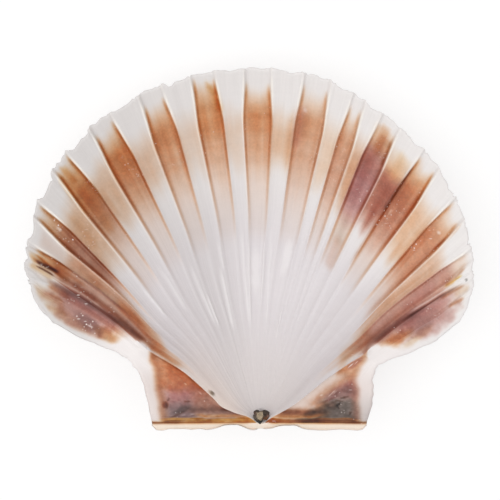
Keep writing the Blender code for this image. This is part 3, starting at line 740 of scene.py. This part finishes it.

# Soft blots: pigment, amount, middle (x, y), half length, half width in mm, and direction in degrees from +X.
# "chalk_and_sheen" takes the place of the pigments that are painted before it: pale flakes and scratches, and
# painted reflections.
BLOTS = [
    # left flank
    ("ochre", 0.17, (-47.6, 32.0), 13.0, 5.8, -34),
    ("ochre", 0.2, (-49.8, 29.4), 7.5, 1.8, -37),
    ("plum", 0.5, (-48.0, 32.2), 10.5, 5.2, -34),
    ("slate", 0.36, (-46.0, 29.7), 5.2, 1.9, -36),
    ("ochre", 0.55, (-40.6, 25.9), 5.0, 1.7, -34),
    ("orange", 0.2, (-38.6, 25.9), 4.2, 1.9, -34),
    # right flank
    ("ochre", 0.12, (43.6, 29.3), 12.2, 4.9, 34),
    ("ochre", 0.22, (43.4, 26.6), 5.0, 1.4, 36),
    ("plum", -0.25, (41.0, 24.2), 3.0, 1.2, 32),
    ("plum", 0.52, (45.1, 30.1), 9.0, 4.7, 35),
    ("plum", 0.25, (39.3, 28.2), 3.0, 1.3, 34),
    ("slate", 0.18, (43.4, 28.6), 6.0, 2.4, 36),
    ("orange", 0.42, (36.2, 24.5), 4.0, 1.7, 34),
    ("orange", 0.25, (39.8, 26.3), 2.6, 1.2, 34),
    ("rust", 0.25, (38.2, 25.9), 4.2, 1.5, 34),
    ("ochre", 0.2, (33.8, 23.7), 2.4, 1.1, 32),
    # left ear: pits with a rusty stain, dark lines in the slate, and pale flakes
    ("rust", 1.0, (-25.2, 7.6), 0.9, 1.0, 15),
    ("umber", 0.3, (-24.8, 7.3), 0.35, 0.9, 15),
    ("umber", 0.55, (-24.3, 9.0), 0.45, 0.25, 30),
    ("rust", 1.0, (-19.3, 8.5), 0.8, 0.3, 5),
    ("umber", 0.35, (-21.5, 5.2), 3.2, 0.4, 28),
    ("ash", 0.4, (-21.0, 6.2), 2.8, 0.8, 20),
    ("chalk_and_sheen", 0.3, (-13.5, 4.6), 4.0, 0.2, 4),
    ("chalk_and_sheen", 0.5, (-19.8, 13.1), 0.3, 0.2, 40),
    ("chalk_and_sheen", 0.45, (-15.8, 10.6), 0.5, 0.15, 35),
    ("chalk_and_sheen", 0.4, (-20.2, 4.9), 0.5, 0.15, 10),
    ("chalk_and_sheen", 0.4, (-17.9, 5.1), 0.6, 0.15, 5),
    # right ear: a red patch below the knob, olive marks in the grey, and scratches
    ("plum", 0.45, (25.8, 19.0), 2.6, 0.9, 38),
    ("orange", 0.2, (21.8, 17.0), 2.0, 1.2, 40),
    ("orange", 0.35, (17.0, 7.5), 2.4, 1.1, 28),
    ("ash", -0.25, (16.2, 7.0), 1.6, 1.0, 20),
    ("umber", 1.0, (21.4, 7.8), 1.3, 0.4, 35),
    ("umber", 0.9, (21.0, 7.0), 0.9, 0.3, -50),
    ("umber", 0.5, (20.5, 8.5), 1.6, 0.25, 10),
    ("umber", 0.6, (22.7, 9.5), 1.3, 0.3, 15),
    ("umber", 0.7, (24.3, 5.4), 0.6, 0.3, 60),
    ("umber", 0.4, (19.4, 7.4), 1.9, 1.2, 0),
    ("ash", -0.5, (19.2, 7.4), 0.9, 0.4, 15),
    ("plum", 0.5, (18.9, 9.0), 2.6, 0.4, 22),
    ("chalk_and_sheen", 0.5, (19.4, 10.6), 1.6, 0.2, 42),
    ("chalk_and_sheen", 0.4, (20.3, 10.9), 1.2, 0.15, 40),
    ("chalk_and_sheen", 0.5, (16.6, 10.1), 0.4, 0.3, 0),
    ("chalk_and_sheen", 0.8, (24.5, 18.2), 0.9, 0.15, 40),
    ("chalk_and_sheen", 0.7, (26.0, 19.0), 0.7, 0.15, 45),
    # fine scratches and flakes on the coloured furrows
    ("chalk_and_sheen", 0.7, (46.6, 54.8), 1.5, 0.16, -52),
    ("chalk_and_sheen", 0.7, (48.6, 53.6), 1.1, 0.16, 20),
    ("chalk_and_sheen", 0.6, (47.2, 52.4), 0.8, 0.16, 45),
    ("chalk_and_sheen", 0.6, (12.0, 87.3), 1.2, 0.14, -30),
    ("chalk_and_sheen", 0.6, (13.4, 86.2), 0.9, 0.14, -40),
    ("chalk_and_sheen", 0.6, (-12.6, 92.4), 1.0, 0.14, 60),
    ("chalk_and_sheen", 0.6, (-11.4, 90.4), 0.9, 0.14, -50),
    ("chalk_and_sheen", 0.7, (-54.0, 54.6), 0.9, 0.2, -60),
    ("chalk_and_sheen", 0.6, (35.6, 59.2), 1.2, 0.16, 55),
    ("chalk_and_sheen", 0.7, (-45.3, 28.6), 0.9, 0.3, -25),
    # painted reflections of a light: white patches on the floors of two furrows
    ("chalk_and_sheen", 0.45, (-0.9, 43.0), 7.5, 1.4, 92),
    ("chalk_and_sheen", 0.45, (7.8, 47.0), 5.5, 1.2, 80),
    # chips
    ("ash", 0.8, (-12.6, 10.6), 0.9, 0.4, -40),
    ("ochre", 0.25, (-12.9, 10.7), 0.9, 0.45, -40),
    ("ash", 0.6, (55.4, 41.0), 0.35, 0.5, 0),
]

# Where the coloured shell has flaked most, as ovals: middle, half length, half width and direction.
FLAKED = [
    ((-54.0, 55.2), 2.6, 1.2, -55),
    ((-51.2, 52.4), 2.0, 1.0, -50),
    ((-46.2, 29.2), 4.4, 1.9, -34),
    ((-47.6, 36.6), 3.2, 1.2, -50),
    ((34.6, 59.2), 4.6, 0.9, 55),
    ((28.8, 63.2), 1.8, 1.0, 60),
    ((42.2, 50.6), 3.0, 1.4, 50),
    ((47.0, 52.6), 2.4, 1.2, -40),
    ((51.4, 52.6), 1.5, 0.8, 10),
    ((51.6, 57.4), 1.2, 0.7, 10),
]


def in_oval(net, middle, length, width, direction):
    """How far out places lie in an oval: 0 in its middle and 1 on its edge."""
    x, y = net.x - middle[0], net.y - middle[1]
    cos, sin = math.cos(math.radians(direction)), math.sin(math.radians(direction))
    return np.hypot((x * cos + y * sin) / length, (y * cos - x * sin) / width)


def flaking(net):
    """How badly the colour has flaked off: in patches, and along the foot of each furrow's walls."""
    foot = bell(net.inside, 0.5, 0.35) * smooth(net.f, 0.75, 0.82) * fall(net.f, 0.92, 0.95)
    worst = 0.7 * foot * smooth(noise(net.angle * 0.5, net.f * 12, 55), 0.35, 0.6)
    for oval in FLAKED:
        worst = np.maximum(worst, fall(in_oval(net, *oval), 0.6, 1.2))
    return worst


def paint_streaks(net, amount):
    for name, full, half, path in STREAKS:
        mark = full * streak_mark(net, half, path)
        if name == "bare":
            wipe(amount, np.minimum(1, mark))
        else:
            amount[name] += mark


def paint_blots(net, amount):
    ragged = 0.4 * wobble(net.x * 0.35, net.y * 0.35, 51) + 0.2 * wobble(net.x * 1.1, net.y * 1.1, 52)
    for name, full, *oval in BLOTS:
        mark = full * fall(in_oval(net, *oval) + ragged, 0.45, 1.25)
        if name == "chalk_and_sheen":
            wipe(amount, mark)
        amount[name] += mark


def paint_ears(net, amount):
    """Orange high on the ears, through mauve to slate low down, and a dark wedge on each side of the beak."""
    x, y, off = net.x, net.y, net.from_crease
    on = net.beyond * (net.t < EAR_TOP + 0.04) * smooth(net.t, -0.1, 0.01)
    soft = 1.8 * wobble(x * 0.22 + 7, y * 0.3, 61) + 0.9 * wobble(x * 0.7, y * 0.9, 62)
    grainy = 1 + 0.35 * wobble(x * 1.3, y * 1.9, 63)
    high = y + soft
    left, right = on * (x < 0) * grainy, on * (x > 0) * grainy
    inward = smooth(x, -20, -15)
    beside = 1 - 0.35 * bell(off, 0, 2.2) * fall(y, 9.5, 11.5) * smooth(y, 6.5, 8)
    thin = (1 - 0.6 * smooth(-x, 24, 27.5)) * (1 - 0.4 * smooth(y, 16.5, 20))
    middle = bell(high, 9.3, 2.6) * inward
    lay(
        amount, left * beside, orange=0.9 * smooth(high, 10, 13.5) * thin, rose=0.15 + 0.55 * middle,
        rust=0.3 * smooth(high, 9.5, 12.5) * bell(off, 0.8, 3.2), ochre=0.25 * middle,
    )
    lay(
        amount, left * (1 - 0.7 * smooth(-x, 22.8, 26.2)),
        plum=0.85 * bell(high, 10.2, 2.6) * (1 - 0.6 * inward) * beside,
        slate=0.72 * fall(high, 6.4, 10.1) * (1 - 0.5 * inward),
    )
    wedge = np.maximum(bell(y, 6.2, 0.85) * smooth(x, -21, -17), bell(off, 0.6, 0.9) * smooth(x, -11, -8))
    wedge = left * wedge * fall(x, -7, -3.5)
    lay(amount, wedge, slate=0.08 + 0.2 * smooth(x, -12, -9), rust=0.25, umber=0.16)
    lay(amount, left, umber=0.2 * bell(off, 0.5, 0.35) * smooth(y, 11, 14) * (0.5 + noise(y * 0.8, 0, 65)))
    # on the right ear a pale, peach-coloured band follows the crease down to the dark wedge beside the beak
    edge = 6.0 + 1.6 * fall(y, 7, 9.5) - 5.2 * smooth(y, 14.5, 18)
    off_band = smooth(off + 0.5 * soft, edge - 2.0, edge + 1.6)
    fringe = bell(off + 0.5 * soft, edge - 1.5, 1.8) * smooth(y, 6.5, 8)
    fading = 1 - 0.45 * smooth(x, 23.2, 26.4)
    lay(
        amount, right, rose=(0.08 + 0.32 * fringe + 0.25 * off_band * bell(high, 14, 1.6)) * fading,
        ochre=0.04 + 0.15 * fringe, plum=0.3 * bell(x, 26, 1.2) * fall(y, 10, 13),
    )
    lay(
        amount, right * off_band * fading, orange=0.42 * smooth(high, 13.2, 15.5),
        plum=0.75 * bell(high, 12.4, 1.9) + 0.45 * bell(high, 10.2, 1.8),
        ash=0.4 * bell(high, 10.4, 1.6) + 0.95 * fall(high, 7.4, 9.8), slate=0.15 * fall(high, 6, 9),
    )
    lay(
        amount, right * bell(y, 5.6, 0.9) * smooth(x, 3.5, 6.5) * fall(x, 16, 20),
        umber=0.38 - 0.18 * smooth(x, 9, 13), rust=0.75 * (1 - 0.4 * smooth(x, 12, 15)),
        orange=0.15 * smooth(x, 9, 13),
    )


def paint_hinge(net, amount):
    """The coloured stripes that run along the hinge line."""
    x, y = net.x, net.y
    wavy = 0.5 * wobble(x * 0.3, 0, 64)
    grain = 0.6 + 0.8 * noise(x * 0.9, y * 2.2, 66)
    on = net.beyond * smooth(net.t, -0.1, 0.01)
    left, right = on * (x < 0), on * (x > 0)
    pale = np.where(x < 0, smooth(x, -18, -15), fall(x, 15, 19)) * bell(y + wavy, 4.6, 0.55)
    strip = fall(y + wavy, 3.75, 4.15 + 1.2 * bell(x, -3.5, 2.0))
    for name in ("slate", "plum", "ash", "umber"):
        amount[name] *= 1 - 0.85 * on * np.maximum(strip, pale)
    lay(amount, on * pale * grain, rose=0.4, amber=0.2)
    lay(
        amount, left * strip * grain, amber=0.42 + 0.2 * bell(x, -14.5, 4) + 0.4 * smooth(x, -9, -4),
        umber=0.02 + 0.16 * bell(x, -15, 3),
    )
    lay(
        amount, right * strip * grain, amber=0.15 + 0.5 * fall(x, 4, 9),
        umber=0.38 * bell(x, 13.5, 3.5) + 0.2 * smooth(x, 7, 12),
    )
    lay(amount, right * strip, rust=0.65 - 0.25 * smooth(x, 15, 19))
    lay(amount, left, umber=0.4 * bell(y + wavy, 3.1, 0.2) * fall(x, -22, -19))
    lay(amount, right, umber=0.3 * bell(y + wavy, 3.3, 0.2) * smooth(x, 10, 14))


def rust_hinge_line(net, amount):
    """The hinge line itself is a rusty edge above the ledge, darkest at the ears' corners."""
    line = bell(net.y, HINGE_Y - 0.1, 0.35) * (0.7 + 0.6 * noise(net.x * 0.5, 0, 67))
    line = line * smooth(abs(net.x), 1.8, 4.5)
    lay(amount, line, rust=0.45, amber=0.15, umber=0.35 * smooth(abs(net.x), 17, 25))


def ear_edges(net, amount):
    """The outer strips of the ears and the tops of the creases stay white."""
    wavy = 0.8 * wobble(net.y * 0.35, 0, 71) + 0.15 * wobble(net.y * 1.3, 0, 72)
    left = net.x < 0
    right_strip = 26.7 - 0.4 * bell(net.y, 14, 1.5) + 0.35 * np.maximum(0, net.y - 14.8)
    outer_strip = np.where(left, 26.2 + 0.19 * (net.y - 3.7), right_strip) + wavy
    bare = smooth(abs(net.x) - outer_strip, -2.1, 0.8) * net.beyond * (net.t < EAR_TOP + 0.05)
    knobs = np.zeros_like(net.x)
    for x, y, half in ((-32, 22, 3.2), (31.4, 21.6, 2.7), (-35.5, 22.5, 4), (34, 20.5, 4)):
        knobs = np.maximum(knobs, fall(np.hypot(net.x - x, net.y - y), 0.55 * half, 1.15 * half))
    crest_line = 0.6 * bell(net.off_crest, 0, 0.35) * bell(net.from_crease, 0, 0.3) * (net.t < EAR_TOP)
    free_edge = fall(net.edge, 0.8, 2.6) * (net.t > EAR_TOP) * net.beyond
    wipe(amount, np.clip(bare + knobs + crest_line + free_edge, 0, 1))
    fringe = bell(abs(net.x) - outer_strip, -1.1, 1.1) * net.on_ear * (1 - knobs) * smooth(net.t, 0, 0.02)
    lay(amount, fringe, ochre=np.where(left, 0.35, 0.12), rose=0.25)


def inner_colours(net):
    """Pigments over whites that warm and cool from the beak to the rim, with painted shade on the left and
    low on the right ear's strip, and painted light on the furrow floors, the keels, beside the left crease
    and along pale ridges.
    """
    amount = {name: np.zeros_like(net.x) for name in (*PIGMENTS, "chalk_and_sheen")}
    painters = furrow_colour, band_colour, paint_ears, paint_blots, paint_streaks, paint_hinge, ear_edges
    for paint in (*painters, rust_hinge_line):
        paint(net, amount)
    # the keels are left bare and a cream highlight is painted along them
    keel = keel_with_painted_highlight(net)
    wipe(amount, (0.65 + 0.2 * smooth(net.f, 0.84, 0.9)) * keel)
    # painted shade: the rim's white darkens towards the left
    rim = tint(PAINTED_SHADE_LEFT_RIM, WHITE_RIM, smooth(net.turn, -45, 15))
    # painted shade on the disc left of the middle
    disc_shaded_left = tint(WHITE_DISC, PAINTED_SHADE_LEFT_DISC, bell(net.turn, -18, 11))
    base = tint(WHITE_BEAK, disc_shaded_left, smooth(net.f, 0.1, 0.35))
    base = tint(base, rim, smooth(net.f, 0.5, 0.8))
    # the furrow floors warmer and painted lighter against their shade; the keels are painted lighter too
    warm_and_painted_light = smooth(net.inside, -0.1, 0.6) * net.on_fan * smooth(net.f, 0.58, 0.7) * fall(net.f, 0.85, 0.97)
    base = tint(base, WARM_PAINTED_LIGHT_FURROW, np.maximum(0.45 * warm_and_painted_light * smooth(net.turn, -50, 0), 0.8 * keel))
    # painted highlight along the keels
    base = tint(base, PAINTED_HIGHLIGHT_KEEL, 0.9 * np.clip(1.3 * keel, 0, 1) * smooth(net.f, 0.78, 0.88))
    # warmth and painted light on the fan beside the left crease, lightening its shade
    base = tint(base, CREAM_AND_PAINTED_LIGHT_BEAK, 0.8 * bell(net.turn, -54, 16) * fall(net.f, 0.2, 0.42) * net.on_fan)
    strip = tint(WHITE_EDGE, WHITE_KNOB, smooth(net.y, 12, 20))
    # painted shade: the right ear's strip darker low down, towards the hinge
    strip = tint(strip, PAINTED_SHADE_EAR_STRIP, smooth(net.x, 26, 27) * fall(net.y, 4, 13))
    base = tint(base, strip, net.beyond * fall(net.f, 0.6, 0.9))
    base = tint(base, CREAM_LEDGE, fall(net.t, -0.15, 0.0))
    # pale chalky flakes and scratches, and painted highlights and reflections
    base = tint(base, CHALK_AND_SHEEN, np.clip(amount.pop("chalk_and_sheen"), 0, 1))
    return layered(base, amount)


def layered(colour, amount):
    """Pigment in the shell works like ink in glass: a thin layer tints, and a thick one darkens."""
    for name, layer in amount.items():
        colour = colour * PIGMENTS[name] ** np.maximum(layer, 0)[..., None]
    return colour.reshape(-1, 3), np.clip(sum(amount.values()), 0, 1).ravel()


def outer_colours(net):
    """The outside is worn white between ribs of rusty brown, in zones that follow the shell's growth."""
    rib = smooth(net.inside + RIB_SHOULDER, -0.4, 2 * RIB_SHOULDER) * np.where(net.on_fan, 1, 0.5)
    zones = noise(0, net.t * 9, 81)
    mottle = noise(net.angle * 0.5, net.t * 12, 82)
    amount = {name: np.zeros_like(net.x) for name in PIGMENTS}
    brown = 0.15 + 0.75 * rib * smooth(net.t, 0.1, 0.4)
    amount["rust"] = brown * (0.5 + 0.9 * zones) * (0.7 + 0.6 * mottle)
    amount["plum"] = 0.25 * rib * (0.4 + mottle) + 0.15 * zones
    amount["orange"] = 0.2 * fall(net.t, 0.1, 0.5) + 0.1
    wipe(amount, 1 - (1 - 0.6 * smooth(net.t, 0.95, 0.995)) * smooth(net.edge, 0.4, 2.2))
    return layered(WHITE_RIM, amount)


# ---- materials ----
def node(tree, kind, settings=None, **links):
    """Add a node with its settings. Links are inputs by name (spaces as _) or number (after _), and what each
    gets: a value, a socket, or a node whose first output is meant."""
    made = tree.nodes.new("ShaderNode" + kind)
    for name, value in (settings or {}).items():
        setattr(made, name, value)
    for name, value in links.items():
        socket = made.inputs[int(name[1:])] if name[1:].isdigit() else made.inputs[name.replace("_", " ")]
        if isinstance(value, bpy.types.Node):
            value = value.outputs[0]
        if isinstance(value, bpy.types.NodeSocket):
            tree.links.new(value, socket)
        else:
            socket.default_value = value
    return made


def new_material(name):
    made = bpy.data.materials.new(name)
    made.use_nodes = True
    made.node_tree.nodes.clear()
    return made, made.node_tree


# Sizes of the patterns in both materials, in millimetres, with turns in degrees. The real crystals and growth
# lines are finer. These are as coarse as they need to be to show.
STREAK_TURN, STREAK_LENGTH = 0.35, 15.0  # streaks run with the ribs
GROWTH_TURN, GROWTH_STEP = 12.0, 0.8  # growth lines run across them
GRAIN, CLOUD = 0.6, 2.5
SPECK_SPACING = 1.1
SCRATCH_LENGTH, SCRATCH_SPACING, SCRATCH_SLANT = 4.0, 0.9, 35
FLAKED_AREA = 6.0
CRUST = 0.4

EASED = {"interpolation_type": "SMOOTHSTEP"}
COMMON = {"From_Min": 0.3, "From_Max": 0.7}  # most of a noise's values lie between these
DOWN = {"To_Min": 1.0, "To_Max": 0.0}
TIMES, OVER, HIGHER = ({"operation": name} for name in ("MULTIPLY", "DIVIDE", "MAXIMUM"))


def shell_material():
    """Scallop calcite: inside it is worn to the satin polish of porcelain, outside it is dry and rough."""
    material, tree = new_material("scallop_calcite")
    stain = node(tree, "Attribute", {"attribute_name": "stain"})
    pigment, angle, reach, flaking_at, outside = (
        node(tree, "Attribute", {"attribute_name": name}).outputs["Fac"]
        for name in ("pigment", "ray", "reach", "flaking", "outside")
    )
    place = node(tree, "TexCoord").outputs["Object"]
    # streaks and growth lines lighten and darken the shell a little
    patterns = []
    for turn, length, detail in ((STREAK_TURN, STREAK_LENGTH, 3.0), (GROWTH_TURN, GROWTH_STEP, 2.0)):
        across = node(tree, "Math", OVER, _0=angle, _1=turn)
        down = node(tree, "Math", OVER, _0=reach, _1=length)
        cell = node(tree, "CombineXYZ", X=across, Y=down, Z=outside)
        patterns.append(node(tree, "TexNoise", Vector=cell, Scale=1.0, Detail=detail))
    streaks, growth = patterns
    streaky = node(tree, "MapRange", EASED, Value=streaks, **COMMON, To_Min=0.985, To_Max=1.012)
    lined = node(tree, "MapRange", EASED, Value=growth, **COMMON, To_Min=0.995, To_Max=1.005)
    # pigment is mottled by the crystals in it, in grains and clouds
    grains = node(tree, "TexNoise", Vector=place, Scale=1 / (GRAIN * MM))
    clouds = node(tree, "TexNoise", Vector=place, Scale=1 / (CLOUD * MM), Detail=3.0)
    grainy, cloudy = (
        node(tree, "MapRange", EASED, Value=pattern, **COMMON, To_Min=-0.08, To_Max=0.08)
        for pattern in (grains, clouds)
    )
    mottle = node(tree, "Math", {"operation": "ADD"}, _0=grainy, _1=cloudy)
    mottled = node(tree, "Math", {"operation": "MULTIPLY_ADD"}, _0=mottle, _1=pigment, _2=1.0)
    shade = node(tree, "Math", TIMES, _0=mottled, _1=streaky)
    shade = node(tree, "Math", TIMES, _0=shade, _1=lined)
    tinted = node(tree, "VectorMath", {"operation": "SCALE"}, _0=stain, Scale=shade)
    # pale specks, 0.2 to 0.5 mm across, and slanting scratches, where coloured shell has flaked off
    cells = node(tree, "TexVoronoi", Vector=place, Scale=1 / (SPECK_SPACING * MM))
    slant = node(
        tree, "Mapping", Vector=place, Rotation=(0, 0, math.radians(SCRATCH_SLANT)),
        Scale=[1 / (size * MM) for size in (SCRATCH_LENGTH, SCRATCH_SPACING, SCRATCH_LENGTH)],
    )
    scratches = node(tree, "TexVoronoi", Vector=slant, Scale=1.0)
    specks = node(tree, "MapRange", EASED, Value=cells, From_Min=0.1, From_Max=0.26, **DOWN)
    lines = node(tree, "MapRange", EASED, Value=scratches, From_Min=0.06, From_Max=0.17, **DOWN)
    marks = node(tree, "Math", HIGHER, _0=specks, _1=lines)
    areas = node(tree, "TexNoise", Vector=place, Scale=1 / (FLAKED_AREA * MM))
    flaky = node(tree, "MapRange", EASED, Value=areas, From_Min=0.54, From_Max=0.62, To_Min=0.0, To_Max=0.35)
    flaky = node(tree, "Math", HIGHER, _0=flaky, _1=flaking_at)
    deep = node(tree, "MapRange", EASED, Value=pigment, **COMMON)
    flakes = node(tree, "Math", TIMES, _0=marks, _1=flaky)
    flakes = node(tree, "Math", TIMES, _0=flakes, _1=deep)
    pale = (*linear("#f3e3da"), 1)
    flaked = node(tree, "Mix", {"data_type": "RGBA"}, _0=flakes, _6=tinted, _7=pale).outputs[2]
    bump = node(tree, "Bump", Strength=0.2, Distance=0.2 * MM, Height=streaks)
    bump = node(tree, "Bump", Strength=0.06, Distance=0.1 * MM, Height=growth, Normal=bump)
    bump = node(tree, "Bump", Strength=0.15, Distance=0.1 * MM, Height=grains, Normal=bump)
    rough = node(tree, "MapRange", Value=outside, To_Min=0.32, To_Max=0.62)
    shader = node(
        tree, "BsdfPrincipled", Base_Color=flaked, Roughness=rough, IOR=1.5, Specular_IOR_Level=0.35,
        Normal=bump,
    )
    node(tree, "OutputMaterial", Surface=shader)
    return material


def ligament_material():
    """Dried ligament, a springy horn-like protein: nearly black and crusty, and greyish tan where it tore."""
    material, tree = new_material("dried_ligament")
    stain = node(tree, "Attribute", {"attribute_name": "stain"})
    place = node(tree, "TexCoord").outputs["Object"]
    crust = node(tree, "TexNoise", Vector=place, Scale=1 / (CRUST * MM), Detail=3.0)
    patchy = node(tree, "MapRange", EASED, Value=crust, **COMMON, To_Min=0.6, To_Max=1.4)
    tinted = node(tree, "VectorMath", {"operation": "SCALE"}, _0=stain, Scale=patchy)
    bump = node(tree, "Bump", Strength=0.5, Distance=0.2 * MM, Height=crust)
    shader = node(tree, "BsdfPrincipled", Base_Color=tinted, Roughness=0.6, IOR=1.5, Normal=bump)
    node(tree, "OutputMaterial", Surface=shader)
    return material


# ---- stage ----
LAMPS = [  # name, place and size in metres, power in watts
    ("window", (-0.5, 0.0, 1.15), 1.0, 5.0),
    ("ceiling", (0.2, 0.25, 1.3), 1.4, 3.0),
]
SKY = 0.58
VIEW_CENTRE = Vector((-2.5, 49.0, 0))  # in the valve's own frame, in millimetres
VIEW_WIDTH = 133.6  # what the square picture spans there, in millimetres


def build_stage():
    bpy.ops.object.select_all(action="DESELECT")
    bpy.ops.mesh.primitive_plane_add(size=6)
    floor = bpy.context.object
    floor.name = "floor"
    material, tree = new_material("white_table")
    light = node(tree, "LightPath").outputs
    matt = node(tree, "BsdfDiffuse", Color=(0.9, 0.9, 0.9, 1))
    seen = node(tree, "BsdfDiffuse", Color=(0.35, 0.35, 0.35, 1))
    glow = node(tree, "Emission", Color=(1, 1, 1, 1), Strength=0.7)
    bright = node(tree, "AddShader", _0=seen, _1=glow)
    seen_by = node(tree, "Math", HIGHER, _0=light["Is Camera Ray"], _1=light["Is Glossy Ray"])
    seen_by = node(tree, "Math", HIGHER, _0=seen_by, _1=light["Is Transmission Ray"])
    both = node(tree, "MixShader", _0=seen_by, _1=matt, _2=bright)
    node(tree, "OutputMaterial", Surface=both)
    floor.data.materials.append(material)

    world = bpy.data.worlds.new("studio")
    world.use_nodes = True
    sky = world.node_tree.nodes["Background"].inputs
    sky["Color"].default_value = (1, 1, 1, 1)
    sky["Strength"].default_value = SKY
    bpy.context.scene.world = world
    for name, place, size, power in LAMPS:
        lamp = bpy.data.lights.new(name, "AREA")
        lamp.size = size
        lamp.energy = power
        holder = bpy.data.objects.new(name, lamp)
        bpy.context.collection.objects.link(holder)
        holder.location = place
        holder.rotation_euler = (-Vector(place)).to_track_quat("-Z", "Y").to_euler()


def build_camera():
    """A long lens that looks straight into the hollow, along the valve's own Z axis."""
    camera = bpy.data.cameras.new("camera")
    camera.lens = 85
    camera.sensor_width = 36
    holder = bpy.data.objects.new("camera", camera)
    bpy.context.collection.objects.link(holder)
    middle = TIP @ VIEW_CENTRE + BEAK
    distance = VIEW_WIDTH * camera.lens / camera.sensor_width
    holder.matrix_world = Matrix.Translation((middle + TIP @ Vector((0, 0, distance))) * MM) @ TIP
    bpy.context.scene.camera = holder


build_stage()
build_camera()
for piece, material, cad_node, slot in (
    (build_valve(), shell_material(), "valve", "shell"),
    (build_ligament(), ligament_material(), "ligament", "ligament"),
):
    piece.data.materials.append(material)
    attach(piece, "root")
    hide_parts(cad_node)

bpy.context.scene.view_settings.view_transform = "Standard"
